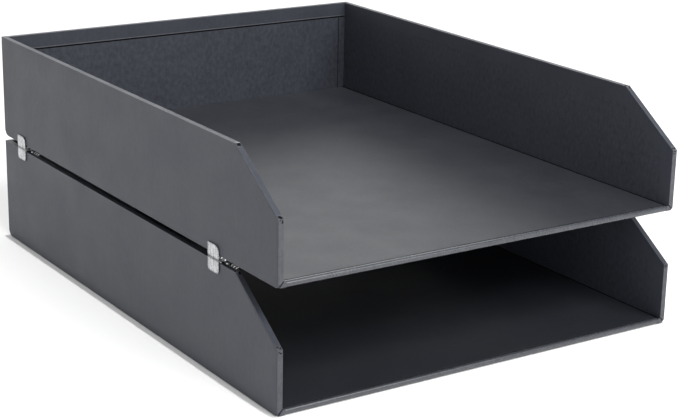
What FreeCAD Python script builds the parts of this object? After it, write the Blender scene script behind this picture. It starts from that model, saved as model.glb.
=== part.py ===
"""A stack of two paper-covered board letter trays, joined by four sheet-steel clips.

Millimetres. X runs across the trays, the open front faces -Y, and +Z is up.
The origin is at the middle of the stack, on the surface that it stands on.
"""

import FreeCAD, Part
import math
import os

from FreeCAD import Vector

# Each tray
tray_width = 248.0
tray_depth = 323.0
tray_height = 61.0
board = 2.4  # grey board under the paper
paper = 0.3  # covering paper and its glue
wall = board + 2 * paper
front_height = 34.0  # the walls' height at the open front
slope_length = 40.0  # how far back the walls slope up to their full height
rear_corner_radius = 4.5  # along the lower rear edge
turn_in = 9.0  # how far the covering paper is turned over into the tray
floor_lip = 2.5  # covering paper left bare in front of the floor liner
stay_width = 12.0  # corner tape, each way from the corner
stay_thickness = 0.2

# The stack
stack_gap = 3.4  # between the lower tray's walls and the upper tray's underside

# Each clip, bent from one strip of sheet steel
clip_sheet = 0.7
clip_width = 10.6  # along the wall
clip_above = 6.7  # the plate's reach above the middle of the gap
clip_below = 7.6  # and below it
front_top_radius = 3.0
front_bottom_radius = 1.6
rear_bottom_radius = 2.0
clip_leg = 6.0  # how far the inner leg hangs below the wall's top
clip_side_clearance = 0.1
clip_top_clearance = 0.05
clip_bead = 0.3  # radius of the rolled bead between the plate's two halves
bead_end = 2.6  # how far the bead runs on beyond the plate's edge
bead_clearance = 0.08
tongue_length = 15.4  # beyond the plate's edge
tongue_width = 1.2
tongue_sheet = 0.35  # the tongue is pressed thinner than the rest
tooth_height = 1.3  # above the tongue
tooth_first = 8.4  # from the plate's edge to the first tooth
tooth_pitch = 2.4
tooth_count = 3
dimple_radius = 0.85
dimple_place = 4.4  # from the plate's edge
front_clip_from_front = 60.9
rear_clip_from_front = 296.6

front = -tray_depth / 2
rear = tray_depth / 2
side = tray_width / 2


def box(x_range, y_range, z_range):
    size = [high - low for low, high in (x_range, y_range, z_range)]
    return Part.makeBox(*size, Vector(x_range[0], y_range[0], z_range[0]))


def wall_outline(inset, inset_below=None, inset_behind=None):
    """The side wall's outline in the YZ plane, moved inwards by the inset."""
    below = inset if inset_below is None else inset_below
    behind = inset if inset_behind is None else inset_behind
    slope = math.atan2(tray_height - front_height, slope_length)
    y_front = front + inset
    y_rear = rear - behind
    z_top = tray_height - inset
    z_slope_foot = front_height - inset * (1 - math.sin(slope)) / math.cos(slope)
    run = (z_top - front_height) * math.cos(slope) + inset
    y_slope_head = front + run / math.sin(slope)
    radius = rear_corner_radius - max(below, behind)
    middle = Vector(0, y_rear - radius, below + radius)
    corner_middle = middle + Vector(0, radius, -radius) * math.sqrt(0.5)
    corners = [
        Vector(0, middle.y, below),
        Vector(0, y_front, below),
        Vector(0, y_front, z_slope_foot),
        Vector(0, y_slope_head, z_top),
        Vector(0, y_rear, z_top),
        Vector(0, y_rear, middle.z),
    ]
    edges = [Part.makeLine(a, b) for a, b in zip(corners, corners[1:])]
    edges.append(Part.Arc(corners[-1], corner_middle, corners[0]).toShape())
    return Part.Face(Part.Wire(edges))


def across(outline, half_width):
    """An outline in the YZ plane, drawn out across the tray."""
    face = outline.copy()
    face.translate(Vector(-half_width, 0, 0))
    return face.extrude(Vector(2 * half_width, 0, 0))


def inside(margin):
    """The open space between the walls, grown into them by the margin."""
    half = side - wall + margin
    return box((-half, half), (front - 1, rear - wall + margin), (-1, tray_height + 1))


def keep_side(shape, sign):
    """The half of a shape on the left (-1) or the right (+1)."""
    x_range = (0, tray_width) if sign > 0 else (-tray_width, 0)
    return shape.common(box(x_range, (front - 5, rear + 5), (-5, tray_height + 5)))


def board_space():
    """Everything inside the covering paper."""
    return across(wall_outline(paper), side - paper)


def corner_stay(sign):
    """Tape let in flush round the outside of a rear corner."""
    outer = side - paper
    back = rear - paper
    top = tray_height - paper - 1
    z_range = (rear_corner_radius + 1, top)
    tape = box((outer - stay_width, outer), (back - stay_width, back), z_range)
    core = box(
        (outer - stay_width, outer - stay_thickness),
        (back - stay_width, back - stay_thickness),
        z_range,
    )
    stay = tape.cut(core)
    if sign < 0:
        stay = stay.mirror(Vector(0, 0, 0), Vector(1, 0, 0))
    return stay


def side_board(sign):
    inner = side - paper - board
    gap = box((-inner, inner), (front - 1, rear + 1), (-1, tray_height + 1))
    return keep_side(board_space().cut(gap), sign).cut(corner_stay(sign))


def back_board():
    inner = side - paper - board
    y_range = (rear - paper - board, rear)
    panel = box((-inner, inner), y_range, (0, tray_height))
    return panel.common(board_space()).cut(corner_stay(-1)).cut(corner_stay(1))


def rounded_sheet(half_width, y_end, z_low, z_high, radius):
    """A flat sheet with a rounded front edge, from the front back to y_end."""
    y_nose = front + radius + z_low
    slab = box((-half_width, half_width), (y_nose, y_end), (z_low, z_high))
    nose = Part.makeCylinder(
        radius, 2 * half_width, Vector(-half_width, y_nose, z_low + radius), Vector(1, 0, 0)
    )
    return slab.fuse(nose).removeSplitter()


def base_board():
    half = side - paper - board
    sheet = rounded_sheet(half, rear - paper - board, paper, paper + board, board / 2)
    return sheet.common(board_space())


def base_wrap():
    """Paper under the base, round its front edge and a little way on to the floor."""
    half = side - wall
    whole = rounded_sheet(half, rear - wall, 0, wall, wall / 2)
    whole = whole.common(across(wall_outline(0), side))
    over_board = rounded_sheet(half + 1, rear, paper, paper + board, board / 2)
    floor = box((-half, half), (front + floor_lip, rear), (wall - paper, wall + 1))
    return whole.cut(over_board).cut(floor)


def floor_liner():
    half = side - wall
    return box((-half, half), (front + floor_lip, rear - wall), (wall - paper, wall))


def liner_outline():
    """What the wall liners cover: all but the turned-in paper along the open edges."""
    return across(wall_outline(turn_in, 0, 0), side)


def inner_skin():
    """One thickness of paper all round the inside of the walls, above the floor."""
    skin = inside(paper).cut(inside(0))
    above_floor = box((-side, side), (front, rear), (wall, tray_height))
    return skin.common(above_floor)


def side_wrap():
    """The covering paper outside the walls, over their edges and turned into the tray."""
    outside = across(wall_outline(0), side).cut(board_space()).cut(inside(0))
    turned = inner_skin().common(board_space()).cut(liner_outline())
    return outside.fuse(turned).removeSplitter()


def side_liner(sign):
    beside = box((-side, side), (front, rear - wall + paper), (0, tray_height))
    ahead = inside(-1).fuse(back_liner())
    skin = inner_skin().common(liner_outline()).common(beside)
    return keep_side(skin.cut(ahead), sign)


def back_liner():
    half = side - wall
    y_range = (rear - wall, rear - wall + paper)
    return box((-half, half), y_range, (wall, tray_height - turn_in))


def bent_strip(points, y_range):
    """Sheet bent along a path of (x, z) points, rounded at each bend and end."""
    length = y_range[1] - y_range[0]
    half = clip_sheet / 2
    along = Vector(0, length, 0)
    solids = []
    for x, z in points:
        solids.append(Part.makeCylinder(half, length, Vector(x, y_range[0], z), Vector(0, 1, 0)))
    for (x0, z0), (x1, z1) in zip(points, points[1:]):
        span = math.hypot(x1 - x0, z1 - z0)
        nx, nz = -(z1 - z0) * half / span, (x1 - x0) * half / span
        ring = [
            Vector(x0 + nx, y_range[0], z0 + nz),
            Vector(x1 + nx, y_range[0], z1 + nz),
            Vector(x1 - nx, y_range[0], z1 - nz),
            Vector(x0 - nx, y_range[0], z0 - nz),
        ]
        face = Part.Face(Part.makePolygon(ring + ring[:1]))
        solids.append(face.extrude(along))
    return solids[0].fuse(solids[1:]).removeSplitter()


def rounded_plate(y_range, z_range, radii, x_range):
    """A plate in the YZ plane; radii gives the radius of each corner by (is front, is top)."""
    plate = box(x_range, y_range, z_range)
    for (is_front, is_top), radius in radii.items():
        corner = []
        for edge in plate.Edges:
            bounds = edge.BoundBox
            across = abs(bounds.XLength - (x_range[1] - x_range[0])) < 1e-6
            at_front = abs(bounds.YMin - y_range[0]) < 1e-6
            at_rear = abs(bounds.YMax - y_range[1]) < 1e-6
            at_top = abs(bounds.ZMax - z_range[1]) < 1e-6
            at_bottom = abs(bounds.ZMin - z_range[0]) < 1e-6
            along = at_front if is_front else at_rear
            level = at_top if is_top else at_bottom
            if across and along and level:
                corner.append(edge)
        plate = plate.makeFillet(radius, corner)
    return plate


def clip_teeth(x_middle, y_edge, z_root):
    """Teeth cut up from the tongue, each leaning towards its tip."""
    teeth = []
    half = tongue_width / 2 - 0.1
    for index in range(tooth_count):
        y_foot = y_edge - tooth_first - index * tooth_pitch
        ring = [
            Vector(x_middle - half, y_foot + 0.6, z_root),
            Vector(x_middle - half, y_foot - 0.1, z_root),
            Vector(x_middle - half, y_foot - 1.4, z_root + tooth_height),
            Vector(x_middle - half, y_foot - 0.9, z_root + tooth_height),
        ]
        face = Part.Face(Part.makePolygon(ring + ring[:1]))
        teeth.append(face.extrude(Vector(2 * half, 0, 0)))
    return teeth


def clip():
    """The left front clip, in place, with its tongue towards the front.

    Outside the walls a plate reaches over both trays. At the gap the sheet folds
    inwards and back in a loop that carries the upper tray, and a leg hangs from the
    loop behind the lower tray's wall. A leaf inside the loop ends in a rolled bead,
    which fills the loop's mouth between the two halves of the plate.
    """
    half = clip_sheet / 2
    x_plate = -side - clip_side_clearance - half
    x_leg = -side + wall + clip_side_clearance + half
    z_wall = tray_height
    z_middle = z_wall + stack_gap / 2
    z_loop_top = z_wall + stack_gap - clip_top_clearance - half
    z_loop_bottom = z_wall + clip_top_clearance + half
    z_bead = z_loop_bottom + half + bead_clearance + clip_bead
    z_mouth = z_bead + clip_bead + bead_clearance + half
    y_middle = front + front_clip_from_front
    y_range = (y_middle - clip_width / 2, y_middle + clip_width / 2)
    loop = bent_strip(
        [
            (x_plate, z_mouth),
            (x_leg, z_loop_top),
            (x_leg, z_loop_bottom),
            (x_plate, z_loop_bottom),
        ],
        y_range,
    )
    leg = bent_strip([(x_leg, z_loop_bottom), (x_leg, z_wall - clip_leg)], y_range)
    leaf = box((x_plate, x_leg), y_range, (z_bead - 0.15, z_bead + 0.15))
    bead = Part.makeCylinder(
        clip_bead,
        clip_width + bead_end,
        Vector(x_plate + clip_bead - half, y_range[0] - bead_end, z_bead),
        Vector(0, 1, 0),
    )
    x_range = (x_plate - half, x_plate + half)
    upper = (z_mouth, z_middle + clip_above)
    lower = (z_middle - clip_below, z_loop_bottom)
    bottom_radii = {(True, False): front_bottom_radius, (False, False): rear_bottom_radius}
    plates = [
        rounded_plate(y_range, upper, {(True, True): front_top_radius}, x_range),
        rounded_plate(y_range, lower, bottom_radii, x_range),
    ]
    x_tongue = -side + wall - tongue_width / 2 - 0.2
    z_tongue = (z_loop_bottom - half, z_loop_bottom - half + tongue_sheet)
    tongue = box(
        (x_tongue - tongue_width / 2, x_tongue + tongue_width / 2),
        (y_range[0] - tongue_length, y_range[0] + 2),
        z_tongue,
    )
    tongue = tongue.fuse(clip_teeth(x_tongue, y_range[0], z_tongue[1] - 0.05))
    dimple = Part.makeSphere(
        dimple_radius, Vector(x_tongue, y_range[0] - dimple_place, z_tongue[1])
    )
    below = box((-side - 5, 0), (front, rear), (0, z_tongue[0] + 0.02))
    tongue = tongue.fuse(dimple.cut(below))
    return loop.fuse([leg, leaf, bead, tongue] + plates).removeSplitter()


def lifted(shape, height):
    copy = shape.copy()
    copy.translate(Vector(0, 0, height))
    return copy


def tray_parts():
    """One tray's pieces, standing on Z = 0."""
    return {
        "base_board": base_board(),
        "back_board": back_board(),
        "left_board": side_board(-1),
        "right_board": side_board(1),
        "left_corner_stay": corner_stay(-1),
        "right_corner_stay": corner_stay(1),
        "side_wrap": side_wrap(),
        "base_wrap": base_wrap(),
        "floor_liner": floor_liner(),
        "back_liner": back_liner(),
        "left_liner": side_liner(-1),
        "right_liner": side_liner(1),
    }


def clips():
    """Four of one clip: those on the right are turned half round."""
    left_front = clip()
    to_rear = rear_clip_from_front - front_clip_from_front
    left_rear = left_front.copy()
    left_rear.translate(Vector(0, to_rear, 0))
    placed = {"front_left_clip": left_front, "rear_left_clip": left_rear}
    for name, left in (("front_right_clip", left_front), ("rear_right_clip", left_rear)):
        y_middle = front + front_clip_from_front
        if name.startswith("rear"):
            y_middle = y_middle + to_rear
        right = left.copy()
        right.rotate(Vector(0, y_middle, 0), Vector(0, 0, 1), 180)
        placed[name] = right
    return placed


def main():
    os.makedirs("parts", exist_ok=True)
    upper_height = tray_height + stack_gap
    for name, shape in tray_parts().items():
        shape.exportStep(f"parts/lower_{name}.step")
        lifted(shape, upper_height).exportStep(f"parts/upper_{name}.step")
    for name, shape in clips().items():
        shape.exportStep(f"parts/{name}.step")


main()
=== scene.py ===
"""Looks for the stack of two letter trays: dark paper over board, joined by four sheet-steel clips.

Shapes are worked out in millimetres, in the CAD frame, and scaled to metres as each mesh is made.
"""

import math

import bmesh
import bpy
from mathutils import Matrix, Vector, noise


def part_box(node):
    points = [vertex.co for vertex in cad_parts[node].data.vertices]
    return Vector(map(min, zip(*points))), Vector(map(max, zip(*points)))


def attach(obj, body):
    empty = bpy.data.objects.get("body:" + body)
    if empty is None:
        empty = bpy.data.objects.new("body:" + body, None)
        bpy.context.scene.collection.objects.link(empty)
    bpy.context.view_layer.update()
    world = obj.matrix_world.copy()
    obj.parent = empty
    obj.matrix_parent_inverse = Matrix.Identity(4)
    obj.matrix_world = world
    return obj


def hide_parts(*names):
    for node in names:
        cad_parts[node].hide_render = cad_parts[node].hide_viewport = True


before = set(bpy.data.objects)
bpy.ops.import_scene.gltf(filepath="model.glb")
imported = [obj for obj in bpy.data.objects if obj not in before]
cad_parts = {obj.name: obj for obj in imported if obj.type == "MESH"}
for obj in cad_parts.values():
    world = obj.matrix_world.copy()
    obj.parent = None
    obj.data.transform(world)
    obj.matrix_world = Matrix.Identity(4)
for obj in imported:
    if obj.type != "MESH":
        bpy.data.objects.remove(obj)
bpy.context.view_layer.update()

MM = 0.001

# Read from the CAD nodes
wrap_low, wrap_high = (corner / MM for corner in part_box("lower_side_wrap"))
liner_low, liner_high = (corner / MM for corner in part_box("lower_floor_liner"))
side, rear, height = wrap_high.x, wrap_high.y, wrap_high.z
front = wrap_low.y
inner_side, inner_rear, floor = liner_high.x, liner_high.y, liner_high.z
lip = liner_low.y - front
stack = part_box("upper_side_wrap")[0].z / MM
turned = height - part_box("lower_back_liner")[1].z / MM
turned_low = height - turned  # the lower edge of the turned-in paper

# As in the CAD source
front_height = 34.0
slope_length = 40.0
rear_radius = 4.5

# The paper's own small sizes
fold_radius = 0.9
heel_radius = 2.2
sheet = 0.28
back_seam = 0.85
side_seam = 0.05
floor_seam = 1.2
groove_width = 0.8  # between the floor liner and the base paper's lip
flap_width = 4.6  # of the side liners, round the rear corners
recess_floor = 1.5  # how low the recess for the wall liners reaches
gather = 0.2  # room left at the walls' edges for the paper gathered at their corners
bare = floor - sheet  # the base's top, beside its papers


# ---------------------------------------------------------------- materials


def node(tree, kind, **values):
    made = tree.nodes.new(kind)
    for name, value in values.items():
        if name in made.inputs:
            made.inputs[name].default_value = value
        else:
            setattr(made, name, value)
    return made


def noise_from(tree, stretch, scale, detail=2.0, rough=0.5):
    """Noise in the object's own place, stretched by scale factors along X, Y and Z."""
    place = node(tree, "ShaderNodeTexCoord")
    mapping = node(tree, "ShaderNodeMapping")
    mapping.inputs["Scale"].default_value = stretch
    tree.links.new(place.outputs["Object"], mapping.inputs["Vector"])
    made = node(tree, "ShaderNodeTexNoise", Scale=scale, Detail=detail, Roughness=rough)
    tree.links.new(mapping.outputs["Vector"], made.inputs["Vector"])
    return made.outputs["Fac"]


def ranged(tree, value, low, high, from_low=0.3, from_high=0.7):
    """A value between two limits, carried over to two others and held there."""
    made = node(tree, "ShaderNodeMapRange")
    made.inputs["From Min"].default_value = from_low
    made.inputs["From Max"].default_value = from_high
    made.inputs["To Min"].default_value = low
    made.inputs["To Max"].default_value = high
    tree.links.new(value, made.inputs["Value"])
    return made.outputs["Result"]


def combined(tree, operation, first, second):
    """Two values, each a number or an output, put through one math operation."""
    made = node(tree, "ShaderNodeMath", operation=operation)
    for socket, value in zip(made.inputs, (first, second)):
        if isinstance(value, float):
            socket.default_value = value
        else:
            tree.links.new(value, socket)
    return made.outputs[0]


def dot(tree, first, second):
    """The dot product of an output with another, or with a fixed direction."""
    made = node(tree, "ShaderNodeVectorMath", operation="DOT_PRODUCT")
    tree.links.new(first, made.inputs[0])
    if isinstance(second, tuple):
        made.inputs[1].default_value = second
    else:
        tree.links.new(second, made.inputs[1])
    return made.outputs["Value"]


def tinted(tree, colour, share):
    """The colour times a share that varies over the surface."""
    made = node(tree, "ShaderNodeMix", data_type="RGBA", blend_type="MULTIPLY")
    made.inputs[0].default_value = 1.0
    colours = [socket for socket in made.inputs if socket.type == "RGBA"]
    colours[0].default_value = (*colour, 1)
    tree.links.new(share, colours[1])
    return [socket for socket in made.outputs if socket.type == "RGBA"][0]


def new_material(name):
    material = bpy.data.materials.new(name)
    material.use_nodes = True
    return material, material.node_tree, material.node_tree.nodes["Principled BSDF"]


def bumped(tree, shader, relief, normal=None):
    """Bump from each (height, distance in metres, strength) in turn, over an optional normal."""
    for value, distance, strength in relief:
        made = node(tree, "ShaderNodeBump", Distance=distance, Strength=strength)
        tree.links.new(value, made.inputs["Height"])
        if normal is not None:
            tree.links.new(normal, made.inputs["Normal"])
        normal = made.outputs["Normal"]
    tree.links.new(normal, shader.inputs["Normal"])


def paper(name, colour, streak, roughness=(0.42, 0.52), gloss=0.28, wear=0.0, marks=0.08):
    """Smooth dyed covering paper: fine fibres, faint streaks along the sheet, slight mottling."""
    material, tree, shader = new_material(name)
    fibres = noise_from(tree, (1, 1, 1), 1700, 4, 0.65)
    streaks = noise_from(tree, streak, 1, 3, 0.6)
    mottle = noise_from(tree, (1, 1, 1), 42, 3, 0.55)
    grain = noise_from(tree, (1, 1, 0.75), 430, 3, 0.6)
    share = ranged(tree, mottle, 0.94, 1.04)
    share = combined(tree, "ADD", share, ranged(tree, streaks, -0.035, 0.035))
    share = combined(tree, "ADD", share, ranged(tree, grain, -marks, marks))
    share = combined(tree, "ADD", share, ranged(tree, fibres, -0.08, 0.08))
    if wear:
        rubbed = noise_from(tree, (1, 1, 1), 380, 4, 0.7)
        share = combined(tree, "ADD", share, ranged(tree, rubbed, 0.0, wear, 0.42, 0.7))
    tree.links.new(tinted(tree, colour, share), shader.inputs["Base Color"])
    shine = ranged(tree, mottle, *roughness)
    shine = combined(tree, "ADD", shine, ranged(tree, fibres, -0.04, 0.04))
    tree.links.new(shine, shader.inputs["Roughness"])
    shader.inputs["Specular IOR Level"].default_value = gloss
    relief = [
        (mottle, 0.00012, 0.12),
        (grain, 0.00004, 0.4),
        (streaks, 0.00002, 0.5),
        (fibres, 0.000022, 0.6),
    ]
    bumped(tree, shader, relief)
    return material


def edge_share(tree, radius):
    """The normal rounded over the edges within a radius in millimetres, and how far it turns."""
    rounded = node(tree, "ShaderNodeBevel", Radius=radius * MM, samples=6).outputs["Normal"]
    place = node(tree, "ShaderNodeTexCoord")
    return rounded, dot(tree, place.outputs["Normal"], rounded)


def plated_steel(name, colour, low, high):
    """Nickel-plated strip: rolling marks down it, soft stains, small scratches.

    The rims are painted lighter as a highlight with a painted shade ring inside, the two creases at
    the gap are painted shade lines, and the tongue is painted darker as shade under teeth painted
    bright as glints.
    """
    material, tree, shader = new_material(name)
    marks = noise_from(tree, (1500, 1500, 90), 1, 3, 0.6)
    stains = noise_from(tree, (1, 1, 1), 520, 3, 0.6)
    scratches = noise_from(tree, (500, 1400, 3200), 1, 2, 0.4)
    share = combined(tree, "ADD", ranged(tree, marks, low, high), ranged(tree, stains, -0.2, 0.2))
    # painted highlight: the base colour is lighter on the rims; painted shade: darker in a ring
    # just inside them
    rounded, near_rim = edge_share(tree, 0.42)
    _, near_ring = edge_share(tree, 1.3)
    share = combined(tree, "MULTIPLY", share, ranged(tree, near_ring, 0.42, 1.08, 0.93, 0.995))
    share = combined(tree, "ADD", share, ranged(tree, near_rim, 1.3, 0.0, 0.84, 0.985))

    place = node(tree, "ShaderNodeTexCoord")
    level = node(tree, "ShaderNodeSeparateXYZ")
    tree.links.new(place.outputs["Object"], level.inputs["Vector"])
    # painted shade: the colour is darker along the two creases of the clip's loop at the gap
    for crease in (height + 0.79, height + 1.47):
        away = combined(tree, "SUBTRACT", level.outputs["Z"], crease * MM)
        away = combined(tree, "ABSOLUTE", away, 0.0)
        shade = ranged(tree, away, 0.25, 1.0, 0.08 * MM, 0.26 * MM)
        share = combined(tree, "MULTIPLY", share, shade)

    # painted shade: darker over the tongue lying in the gap; painted glint: lighter on the teeth
    # above it
    plate_near, plate_far = (inner_side + 1.9) * MM, (inner_side + 2.4) * MM
    shade_low, shade_high = (height + 0.42) * MM, (height + 0.56) * MM
    teeth_low, teeth_high = (height + 0.5) * MM, (height + 0.6) * MM
    across = combined(tree, "ABSOLUTE", level.outputs["X"], 0.0)
    within = ranged(tree, across, 0.85, 0.0, plate_near, plate_far)
    under = ranged(tree, level.outputs["Z"], 1.0, 0.0, shade_low, shade_high)
    shaded = combined(tree, "SUBTRACT", 1.0, combined(tree, "MULTIPLY", within, under))
    share = combined(tree, "MULTIPLY", share, shaded)
    above = ranged(tree, level.outputs["Z"], 0.0, 1.9, teeth_low, teeth_high)
    share = combined(tree, "ADD", share, combined(tree, "MULTIPLY", within, above))

    tree.links.new(tinted(tree, colour, share), shader.inputs["Base Color"])
    shader.inputs["Metallic"].default_value = 1.0
    shine = ranged(tree, stains, 0.2, 0.34)
    shine = combined(tree, "ADD", shine, ranged(tree, scratches, -0.05, 0.08))
    tree.links.new(shine, shader.inputs["Roughness"])
    relief = [(stains, 0.00012, 0.5), (marks, 0.00001, 0.5), (scratches, 0.000006, 0.4)]
    bumped(tree, shader, relief, rounded)
    return material


dye = (0.040, 0.044, 0.056)
wear_and_highlight_dye = (0.048, 0.0505, 0.059)
nose_dye = (0.040, 0.043, 0.051)
floor_dye = (0.019, 0.0215, 0.027)
painted_ridge_highlight_dye = (0.2, 0.205, 0.225)
painted_shade_dye = (0.005, 0.005, 0.006)
wall_paper = paper("wall_paper", dye, (700, 700, 26))
lining_paper = paper("lining_paper", dye, (700, 700, 26), marks=0.24)
floor_paper = paper("floor_paper", floor_dye, (420, 18, 420), (0.4, 0.46), 0.52, marks=0.17)
# the fold paper is lighter than the wall paper: partly rubbed wear, partly painted highlight on
# folds and front end faces
fold_paper = paper("fold_paper", wear_and_highlight_dye, (500, 500, 60), (0.3, 0.4), 0.36, 0.45)
nose_paper = paper("nose_paper", nose_dye, (60, 500, 500), (0.22, 0.3), 0.62, 0.35)
painted_ridge_highlight = paper("painted_ridge_highlight", painted_ridge_highlight_dye, (500, 500, 60), (0.4, 0.5), 0.4)
# near-black paper put in seams, grooves, slits and creases: painted shade
painted_shade_paper = paper("painted_shade_paper", painted_shade_dye, (500, 500, 60), (0.75, 0.85), 0.04)
steel = plated_steel("plated_steel", (0.45, 0.455, 0.47), 0.5, 1.3)
# a lighter copy of the steel for the clips' eased edges: painted highlight
painted_highlight_steel = plated_steel("painted_highlight_steel", (0.86, 0.87, 0.88), 0.9, 1.1)


# ---------------------------------------------------------------- mesh helpers


def solid(loops):
    """A closed mesh from face loops given as points, with shared corners joined."""
    made = bmesh.new()
    for loop in loops:
        made.faces.new([made.verts.new(Vector(point)) for point in loop])
    bmesh.ops.remove_doubles(made, verts=made.verts, dist=0.001)
    bmesh.ops.recalc_face_normals(made, faces=made.faces)
    return made


def round_off(made, edges, radius, segments=4, material=-1):
    bmesh.ops.bevel(
        made,
        geom=edges,
        offset=radius,
        offset_type="OFFSET",
        segments=segments,
        profile=0.5,
        affect="EDGES",
        clamp_overlap=True,
        material=material,
        miter_outer="SHARP",
    )


def coloured(made, material):
    """A mesh with all its faces in one material slot."""
    for face in made.faces:
        face.material_index = material
    return made


def finished(name, made, materials, body, lift=0.0, replaces=()):
    """Turns a mesh in millimetres into a piece that rides on a body."""
    bmesh.ops.translate(made, verts=made.verts, vec=(0, 0, lift))
    bmesh.ops.scale(made, verts=made.verts, vec=(MM, MM, MM))
    for face in made.faces:
        face.smooth = True
    for edge in made.edges:
        edge.smooth = len(edge.link_faces) == 2 and edge.calc_face_angle(0) < math.radians(38)
    mesh = bpy.data.meshes.new(name)
    made.to_mesh(mesh)
    made.free()
    for material in materials:
        mesh.materials.append(material)
    piece = bpy.data.objects.new(name, mesh)
    bpy.context.scene.collection.objects.link(piece)
    weighted = piece.modifiers.new("weighted", "WEIGHTED_NORMAL")
    weighted.keep_sharp = True
    weighted.weight = 90
    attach(piece, body)
    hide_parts(*replaces)
    return piece


def rectangle(across, up):
    """The corners of a rectangle, from its range each way."""
    return [(across[0], up[0]), (across[1], up[0]), (across[1], up[1]), (across[0], up[1])]


def plate(outline, low, high, axis, radius=0.1, segments=2):
    """A flat sheet: an outline across one axis, from low to high, with its edges eased."""
    def at(point, depth):
        placed = list(point)
        placed.insert(axis, depth)
        return placed
    loops = [[at(point, low) for point in outline], [at(point, high) for point in outline]]
    for here, there in zip(outline, outline[1:] + outline[:1]):
        loops.append([at(here, low), at(there, low), at(there, high), at(here, high)])
    made = solid(loops)
    sharp = [edge for edge in made.edges if edge.calc_face_angle(0) > math.radians(30)]
    if radius:
        round_off(made, sharp, radius, segments)
    return made


def joined(parts):
    """Several meshes as one."""
    whole = bmesh.new()
    for part in parts:
        holder = bpy.data.meshes.new("part")
        part.to_mesh(holder)
        part.free()
        whole.from_mesh(holder)
        bpy.data.meshes.remove(holder)
    return whole


# ---------------------------------------------------------------- the trays


def wall_outline(inset):
    """Front bottom, slope foot, slope head and top rear of a side wall, as (y, z)."""
    slope = math.atan2(height - front_height, slope_length)
    top = height - inset
    foot = front_height - inset * (1 - math.sin(slope)) / math.cos(slope)
    head = front + ((top - front_height) * math.cos(slope) + inset) / math.sin(slope)
    return (front + inset, 0.0), (front + inset, foot), (head, top), (inner_rear, top)


def rear_arc():
    """The rounded lower rear edge, as (y, z), from the back down to the underside.

    The seventh point is in line with the back wall's inner face.
    """
    middle = Vector((rear - rear_radius, rear_radius))
    to_wall = math.degrees(math.asin((inner_rear - middle.x) / rear_radius))
    angles = [90, 78, 66, 54, 42, 30, to_wall, 10, 0]
    return [
        (middle.x + rear_radius * math.sin(a), middle.y - rear_radius * math.cos(a))
        for a in map(math.radians, angles)
    ]


def cover():
    """The walls' covering paper: outside, over every edge, and turned in round a shallow recess."""
    arc = rear_arc()
    at_wall = 6
    bottom, foot, head, top = wall_outline(gather)
    heel = [
        (bottom[0] + heel_radius * (1 - math.sin(a)), gather / 2 + heel_radius * (1 - math.cos(a)))
        for a in map(math.radians, range(0, 91, 15))
    ]
    crest = height - gather
    low_in, foot_in, head_in, top_in = wall_outline(turned)
    low_in = (low_in[0], recess_floor)
    back_in = inner_rear + sheet
    loops = []
    for sign in (-1, 1):
        out, face, sunk = sign * side, sign * inner_side, sign * (inner_side + sheet)
        outside = heel + [foot, head, (rear, crest)] + arc
        loops.append([(out, *p) for p in outside])
        band = heel + [foot, head, top, top_in, head_in, foot_in, low_in]
        band += [(inner_rear, recess_floor)] + arc[at_wall:]
        loops.append([(face, *p) for p in band])
        ring = [low_in, foot_in, head_in, top_in, (inner_rear, recess_floor)]
        sunk_ring = ring[:3] + [(back_in, top_in[1]), (back_in, recess_floor)]
        loops.append([(sunk, *p) for p in sunk_ring])
        for a, b in ((0, 1), (1, 2), (2, 3), (4, 0)):
            edge = [(face, *ring[a]), (face, *ring[b])]
            loops.append(edge + [(sunk, *sunk_ring[b]), (sunk, *sunk_ring[a])])
        edge_line = arc[at_wall:] + heel + [foot, head]
        for a, b in zip(edge_line, edge_line[1:]):
            loops.append([(out, *a), (face, *a), (face, *b), (out, *b)])
    loops.append([
        (-side, head[0], crest), (-inner_side, head[0], crest), (-inner_side, inner_rear, crest),
        (inner_side, inner_rear, crest), (inner_side, head[0], crest), (side, head[0], crest),
        (side, rear, crest), (-side, rear, crest),
    ])
    strips = [(rear, crest)] + arc[: at_wall + 1]
    for a, b in zip(strips, strips[1:]):
        loop = [(-side, *a), (side, *a), (side, *b)]
        if b == arc[at_wall]:
            loop += [(inner_side, *b), (-inner_side, *b)]
        loops.append(loop + [(-side, *b)])
    for low, high in ((turned_low, crest), (arc[at_wall][1], recess_floor)):
        loops.append([
            (-inner_side, inner_rear, high), (inner_side, inner_rear, high),
            (inner_side, inner_rear, low), (-inner_side, inner_rear, low),
        ])
    wide = inner_side + sheet
    loops.append([
        (-wide, back_in, turned_low), (wide, back_in, turned_low),
        (wide, back_in, recess_floor), (-wide, back_in, recess_floor),
    ])
    for level in (turned_low, recess_floor):
        loops.append([
            (-inner_side, inner_rear, level), (inner_side, inner_rear, level),
            (wide, back_in, level), (-wide, back_in, level),
        ])
    made = solid(loops)
    for face in made.faces:
        # painted shade: the recess floor showing in the seam under the turned-in paper is
        # near-black
        if all(abs(v.co.y - back_in) < 0.01 for v in face.verts):
            face.material_index = 2
        # the front end faces and folded edges take the lighter fold paper: partly wear, partly
        # painted highlight
        elif all(v.co.y < front + gather + 0.01 for v in face.verts):
            face.material_index = 1
    round_off(made, [e for e in made.edges if is_fold(e)], fold_radius, 5, 1)
    return made


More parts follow.
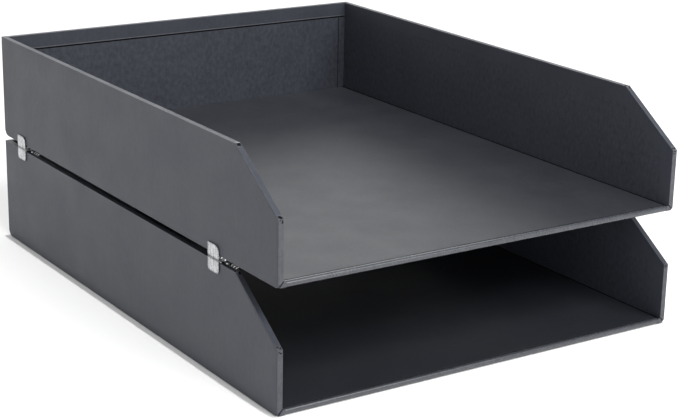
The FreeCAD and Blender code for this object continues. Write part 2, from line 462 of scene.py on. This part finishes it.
def is_fold(edge):
    """True where the paper is folded over the board, and not at the recess or hidden edges."""
    a, b = (v.co for v in edge.verts)
    if edge.calc_face_angle(0) < math.radians(20):
        return False
    for p in (a, b):
        inside = abs(p.x) < side - 0.1
        if abs(p.x) > inner_side + 0.1 and inside:
            return False
        if inside and inner_rear + 0.1 < p.y < rear - 0.1:
            return False
    if not all(abs(abs(p.x) - inner_side) < 0.01 for p in (a, b)):
        return True
    near, crest = front + gather, height - gather
    middle = (a + b) / 2
    if abs(a.x - b.x) >= 0.01:
        return middle.z > crest - 0.1
    if middle.z < 0.1 and middle.y > near + heel_radius:
        return False
    on_slope = abs(a.y - near) < 0.01 and abs(b.z - crest) < 0.01
    on_slope = on_slope or (abs(b.y - near) < 0.01 and abs(a.z - crest) < 0.01)
    return on_slope or middle.y < near + 0.1 or middle.z > crest - 0.1


def liner(sign):
    """Lining paper on a side wall, in its recess, with a narrow flap round the rear corner."""
    low, foot, head, top = wall_outline(turned + side_seam)
    rear_end = inner_rear + sheet - 0.03
    outline = [(low[0], 2.0), foot, head, (rear_end, top[1]), (rear_end, 2.0)]
    depths = sorted((sign * inner_side, sign * (inner_side + sheet - 0.02)))
    up = (floor + 0.1, turned_low - back_seam)
    flap_end = inner_side - flap_width
    flap = sorted((sign * flap_end, sign * (inner_side - 0.04)))
    groove = sorted((sign * (flap_end - 0.02), sign * (flap_end - 0.35)))
    return joined([
        plate(outline, *depths, 0, 0.06),
        plate(rectangle(flap, up), inner_rear - 0.24, inner_rear - 0.005, 1, 0.08),
        # painted shade: a near-black strip beside the flap
        coloured(plate(rectangle(groove, up), inner_rear - 0.03, inner_rear - 0.005, 1, 0), 1),
    ])


def back_liner():
    wide = inner_side - 0.15
    outline = rectangle((-wide, wide), (2.0, turned_low - back_seam))
    return plate(outline, inner_rear, inner_rear + sheet - 0.02, 1)


def floor_liner():
    """The floor's lining paper, and the grooves between it and the side walls, in near-black paper
    as painted shade.
    """
    wide = inner_side - floor_seam
    along = (front + lip + groove_width, inner_rear - 0.3)
    low = floor - sheet + 0.02
    parts = [plate(rectangle((-wide, wide), along), low, floor, 2)]
    for sign in (-1, 1):
        across = sorted((sign * (wide - 0.05), sign * (inner_side - 0.03)))
        parts.append(coloured(plate(rectangle(across, along), low, floor - 0.05, 2, 0), 1))
    return joined(parts)


def base_profile(inset, waver):
    """The base's covering paper in the YZ plane, drawn in by the inset near its two ends."""
    radius = floor / 2
    nose = Vector((front + radius, radius))
    r = radius - inset
    lip_end = front + lip
    points = [(lip_end, bare), (lip_end, floor - inset - 0.06), (lip_end - 0.12, floor - inset)]
    for degrees in range(0, 181, 15):
        a = math.radians(degrees)
        swell = 1 + waver * math.sin(a) ** 2
        points.append((nose.x - r * swell * math.sin(a), nose.y + r * math.cos(a)))
    at_wall, below, bottom = rear_arc()[6:]
    points += [(bottom[0], inset), (below[0], below[1] + inset), (at_wall[0], at_wall[1] + inset)]
    points.append((inner_rear - 0.05, bare))
    return points


def base_cover(seed):
    """Paper under the base and round its nose, whose ends are rounded by hand-folded corners."""
    half = inner_side - 0.4
    end_radius = 1.4
    stations = []
    for step in range(7):
        run = end_radius * (1 - math.cos(math.radians(15 * step)))
        drop = end_radius - math.sqrt(max(0.0, end_radius ** 2 - (end_radius - run) ** 2))
        stations.append((run, drop))
    xs = [(-half + run, inset) for run, inset in stations]
    count = 80
    straight = 2 * half - 2 * end_radius
    xs += [(-half + end_radius + straight * k / count, 0.0) for k in range(1, count)]
    xs += [(half - run, inset) for run, inset in reversed(stations)]
    made = bmesh.new()
    rings = []
    for x, inset in xs:
        waver = -0.03
        if inset == 0:
            waver = -0.035 * (1 + noise.noise(Vector((x * 0.11, seed, 0.0))))
        rings.append([made.verts.new((x, y, z)) for y, z in base_profile(inset, waver)])
    for here, there in zip(rings, rings[1:]):
        for k in range(len(here)):
            j = (k + 1) % len(here)
            made.faces.new([here[k], here[j], there[j], there[k]])
    made.faces.new(rings[0])
    made.faces.new(rings[-1])
    bmesh.ops.recalc_face_normals(made, faces=made.faces)
    behind_nose = front + floor / 2 - 0.01
    # painted shade: the bare top in the groove behind the lip, and the nose's lowest strip, take
    # the near-black paper
    for face in made.faces:
        if all(abs(v.co.z - bare) < 0.02 for v in face.verts):
            face.material_index = 1
        elif all(v.co.y > behind_nose and v.co.z < bare - 0.1 for v in face.verts):
            face.material_index = 2
        elif all(v.co.z < 0.25 for v in face.verts):
            face.material_index = 1
    return made


def edging(sign):
    """The overlap of the edge paper outside the slope and the front, as a thin raised band."""
    outer, inner_line = wall_outline(0.95), wall_outline(3.1)
    outline = [(outer[0][0], 0.9), outer[1], outer[2], (inner_line[2][0] + 1.1, outer[2][1])]
    outline += [inner_line[2], inner_line[1], (inner_line[0][0], 0.9)]
    depths = sorted((sign * (side - 0.05), sign * (side + 0.09)))
    return plate(outline, *depths, 0, 0.06)


def turned_edge():
    """The bottom edge of the paper turned in over the back wall, swollen a little with glue."""
    half = inner_side - 0.5
    made = bmesh.new()
    ends = []
    for x in (-half, half):
        ring = []
        for step in range(13):
            a = math.radians(-90 + 15 * step)
            y, z = inner_rear - 0.22 * math.cos(a), turned_low + 0.32 + 0.32 * math.sin(a)
            ring.append(made.verts.new((x, y, z)))
        made.faces.new(ring)
        ends.append(ring)
    for step in range(13):
        after = (step + 1) % 13
        made.faces.new([ends[0][step], ends[0][after], ends[1][after], ends[1][step]])
    bmesh.ops.recalc_face_normals(made, faces=made.faces)
    # in the lighter fold paper: partly worn core, partly painted highlight
    return coloured(made, 1)


def pleats(sign, corner, before, after, seed, folds):
    """A patch of gathered paper over a corner of the outline, from one edge's normal to the next.

    Across the wall it follows the two folds; along the outline it goes round the corner.
    """
    r = fold_radius
    wall = side - inner_side
    turn = math.atan2(before.x * after.y - before.y * after.x, before.dot(after))
    bisector = (before + after).normalized()
    middle = corner - bisector * (r / math.cos(turn / 2))
    steps_along, steps_across = 36, 30
    outer_grid, inner_grid, materials = [], [], {}
    made = bmesh.new()
    for i in range(steps_along + 1):
        u = i / steps_along * 2 - 1
        bend = max(-1.0, min(1.0, u / 0.45))
        angle = turn / 2 * (1 + bend)
        normal = Vector((
            before.x * math.cos(angle) - before.y * math.sin(angle),
            before.x * math.sin(angle) + before.y * math.cos(angle),
        ))
        beyond = (abs(u) - 0.45) * 4.2 if abs(u) > 0.45 else 0.0
        along = Vector((-normal.y, normal.x)) * math.copysign(1, u) * math.copysign(1, turn)
        row_out, row_in = [], []
        for j in range(steps_across + 1):
            v = j / steps_across
            if v < 0.3:
                a = v / 0.3 * math.pi / 2
                x, depth = r - r * math.cos(a), r - r * math.sin(a)
            elif v > 0.7:
                a = (1 - v) / 0.3 * math.pi / 2
                x, depth = wall - r + r * math.cos(a), r - r * math.sin(a)
            else:
                x, depth = r + (v - 0.3) / 0.4 * (wall - 2 * r), 0.0
            edge = min(1.0, (1 - abs(u)) * 5) * min(1.0, v * 7, (1 - v) * 7)
            wobble = noise.noise(Vector((v * 2.1, u * 1.3, seed)))
            wave = math.pi * folds * (0.5 * u + 0.35 * wobble + 0.12 * v)
            ridge = 1 - abs(math.sin(wave))
            rise = 0.03 + edge * (0.06 + 0.36 * ridge ** 2 * (0.6 + wobble))
            # painted shade: the troughs take the near-black paper; painted highlight: the ridges
            # take the pale paper; the rest takes the lighter fold paper, partly painted highlight
            if ridge < 0.24 and edge > 0.7:
                materials[i, j] = 2
            elif ridge > 0.8 and edge > 0.9:
                materials[i, j] = 3
            else:
                materials[i, j] = 1
            for row, shift in ((row_out, rise), (row_in, -0.12)):
                place = middle + normal * (r - depth + shift) + along * beyond
                x_shift = 0.0
                if v < 0.3:
                    x_shift = -shift * math.cos(v / 0.3 * math.pi / 2) * 0.4
                elif v > 0.7:
                    x_shift = shift * math.cos((1 - v) / 0.3 * math.pi / 2) * 0.4
                y, z = max(place.x, front), min(max(place.y, 0.0), height)
                row.append(made.verts.new((sign * (side - x - x_shift), y, z)))
        outer_grid.append(row_out)
        inner_grid.append(row_in)
    for i in range(steps_along):
        for j in range(steps_across):
            material = materials[i, j] if materials[i, j] == materials[i + 1, j + 1] else 1
            for grid in (outer_grid, inner_grid):
                cell = [grid[i][j], grid[i + 1][j], grid[i + 1][j + 1], grid[i][j + 1]]
                made.faces.new(cell).material_index = material
    rim = [(i, 0) for i in range(steps_along)] + [(steps_along, j) for j in range(steps_across)]
    rim += [(i, steps_across) for i in range(steps_along, 0, -1)]
    rim += [(0, j) for j in range(steps_across, 0, -1)]
    for (i, j), (k, m) in zip(rim, rim[1:] + rim[:1]):
        cell = [outer_grid[i][j], outer_grid[k][m], inner_grid[k][m], inner_grid[i][j]]
        made.faces.new(cell).material_index = 1
    bmesh.ops.recalc_face_normals(made, faces=made.faces)
    return made


def tuck(sign):
    """The nose's paper drawn across a wall's heel in the lighter fold paper, partly painted
    highlight, and the slit that slants above it in near-black paper as painted shade.
    """
    heel = [(-1.6, 0.4), (2.2, 0.4), (1.5, 1.2), (-0.1, 3.2), (-1.6, 3.0)]
    slit = [(2.0, 1.2), (0.35, 3.5), (-0.1, 3.5), (-0.1, 3.1), (1.4, 1.2)]
    heel, slit = (
        [(sign * (inner_side + across), up) for across, up in corners] for corners in (heel, slit)
    )
    return joined([
        coloured(plate(heel, front + 0.02, front + 0.7, 1, 0.1), 1),
        coloured(plate(slit, front + 0.13, front + 0.4, 1, 0), 2),
    ])


def corner_folds(sign, seed):
    """The gathered paper at a side wall's slope foot and slope head, and the tuck at its heel."""
    _, foot, head, _ = (Vector(p) for p in wall_outline(gather))
    ahead, above = Vector((-1, 0)), Vector((0, 1))
    up_slope = (head - foot).normalized()
    off_slope = Vector((-up_slope.y, up_slope.x))
    return [
        pleats(sign, foot, off_slope, ahead, seed, 3),
        pleats(sign, head, above, off_slope, seed + 5, 1),
        tuck(sign),
    ]


def tray(name, lift, seed):
    corners = corner_folds(-1, seed) + corner_folds(1, seed + 20)
    walls = joined([cover(), turned_edge(), edging(-1), edging(1), *corners])
    wall_papers = [wall_paper, fold_paper, painted_shade_paper, painted_ridge_highlight]
    base_papers = [nose_paper, painted_shade_paper, wall_paper]
    side_papers = [lining_paper, painted_shade_paper]
    boards = ["left_board", "right_board", "back_board"]
    wrapped = ["side_wrap", *boards, "left_corner_stay", "right_corner_stay"]
    pieces = (
        ("cover", walls, wall_papers, "cover_paper", wrapped),
        ("base_cover", base_cover(seed), base_papers, "cover_paper", ["base_wrap", "base_board"]),
        ("floor_paper", floor_liner(), [floor_paper, painted_shade_paper], "liner_paper", ["floor_liner"]),
        ("back_paper", back_liner(), [lining_paper], "liner_paper", ["back_liner"]),
        ("left_paper", liner(-1), side_papers, "liner_paper", ["left_liner"]),
        ("right_paper", liner(1), side_papers, "liner_paper", ["right_liner"]),
    )
    for kind, made, materials, slot, nodes in pieces:
        covered = [f"{name}_{part}" for part in nodes]
        finished(f"{name}_{kind}", made, materials, f"{name}_tray", lift, covered)


def plate_clip(part):
    """Steel on a clip's own CAD mesh, with its eased edges in a lighter copy of the steel as
    painted highlight.
    """
    part.data.materials.clear()
    part.data.materials.append(steel)
    part.data.materials.append(painted_highlight_steel)
    eased = part.modifiers.new("eased", "BEVEL")
    eased.width = 0.14 * MM
    eased.segments = 2
    eased.material = 1
    eased.limit_method = "ANGLE"
    eased.angle_limit = math.radians(40)


tray("lower", 0.0, 3.7)
tray("upper", stack, 11.2)

for name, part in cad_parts.items():
    if name.endswith("_clip"):
        plate_clip(part)


# ---------------------------------------------------------------- floor, light, camera


def stage_floor():
    made = bmesh.new()
    bmesh.ops.create_grid(made, x_segments=8, y_segments=8, size=6.0)
    mesh = bpy.data.meshes.new("floor")
    made.to_mesh(mesh)
    made.free()
    ground = bpy.data.objects.new("floor", mesh)
    ground.location.z = -0.0002
    bpy.context.scene.collection.objects.link(ground)
    material, _, shader = new_material("floor")
    shader.inputs["Base Color"].default_value = (0.86, 0.86, 0.86, 1)
    shader.inputs["Roughness"].default_value = 0.9
    shader.inputs["Specular IOR Level"].default_value = 0.1
    mesh.materials.append(material)


def lights():
    """A large soft light ahead of the trays, and a small sun overhead, a little to one side."""
    softbox = bpy.data.lights.new("front_softbox", "AREA")
    softbox.shape = "RECTANGLE"
    softbox.size, softbox.size_y = 1.8, 1.0
    softbox.energy = 47
    lamp = bpy.data.objects.new("front_softbox", softbox)
    place, aim = Vector((0.25, -1.45, 1.5)), Vector((0, 0, 0.06))
    lamp.location = place
    lamp.rotation_euler = (aim - place).to_track_quat("-Z", "Y").to_euler()
    bpy.context.scene.collection.objects.link(lamp)
    overhead = bpy.data.lights.new("overhead", "SUN")
    overhead.energy = 1.8
    overhead.angle = math.radians(0.6)
    lamp = bpy.data.objects.new("overhead", overhead)
    lamp.rotation_euler = (0, math.radians(1.55), 0)
    bpy.context.scene.collection.objects.link(lamp)


def camera():
    """Low and from the left of the open front, a little rolled."""
    azimuth, pitch, roll = map(math.radians, (33.357, 17.242, 1.057))
    ahead = Vector((math.sin(azimuth), math.cos(azimuth), 0)) * math.cos(pitch)
    forward = ahead - Vector((0, 0, math.sin(pitch)))
    level = Vector((math.cos(azimuth), -math.sin(azimuth), 0))
    upright = level.cross(forward)
    right = math.cos(roll) * level + math.sin(roll) * upright
    up = -math.sin(roll) * level + math.cos(roll) * upright
    place = Vector((0, 0, stack)) - forward * 1000.24 + level * 12.92 - upright * 22.45
    data = bpy.data.cameras.new("camera")
    data.lens = 92.198
    data.clip_start = 0.01
    eye = bpy.data.objects.new("camera", data)
    turn = Matrix((right, up, -forward)).transposed().to_4x4()
    eye.matrix_world = Matrix.Translation(place * MM) @ turn
    bpy.context.scene.collection.objects.link(eye)
    bpy.context.scene.camera = eye


def studio_world():
    """White surroundings, brighter low down and behind the trays."""
    world = bpy.data.worlds.new("studio")
    world.use_nodes = True
    tree = world.node_tree
    place = node(tree, "ShaderNodeTexCoord")
    parts = node(tree, "ShaderNodeSeparateXYZ")
    tree.links.new(place.outputs["Generated"], parts.inputs["Vector"])
    sky = ranged(tree, parts.outputs["Z"], 1.25, 0.12, 0.3, 0.75)
    behind = dot(tree, place.outputs["Generated"], (0.55, 0.835, 0))
    sky = combined(tree, "MULTIPLY", sky, ranged(tree, behind, 0.77, 1.55, -0.1, 0.9))
    tree.links.new(sky, tree.nodes["Background"].inputs["Strength"])
    tree.nodes["Background"].inputs["Color"].default_value = (1.0, 1.0, 1.0, 1)
    bpy.context.scene.world = world


stage_floor()
lights()
camera()
studio_world()
bpy.context.scene.view_settings.view_transform = "Standard"
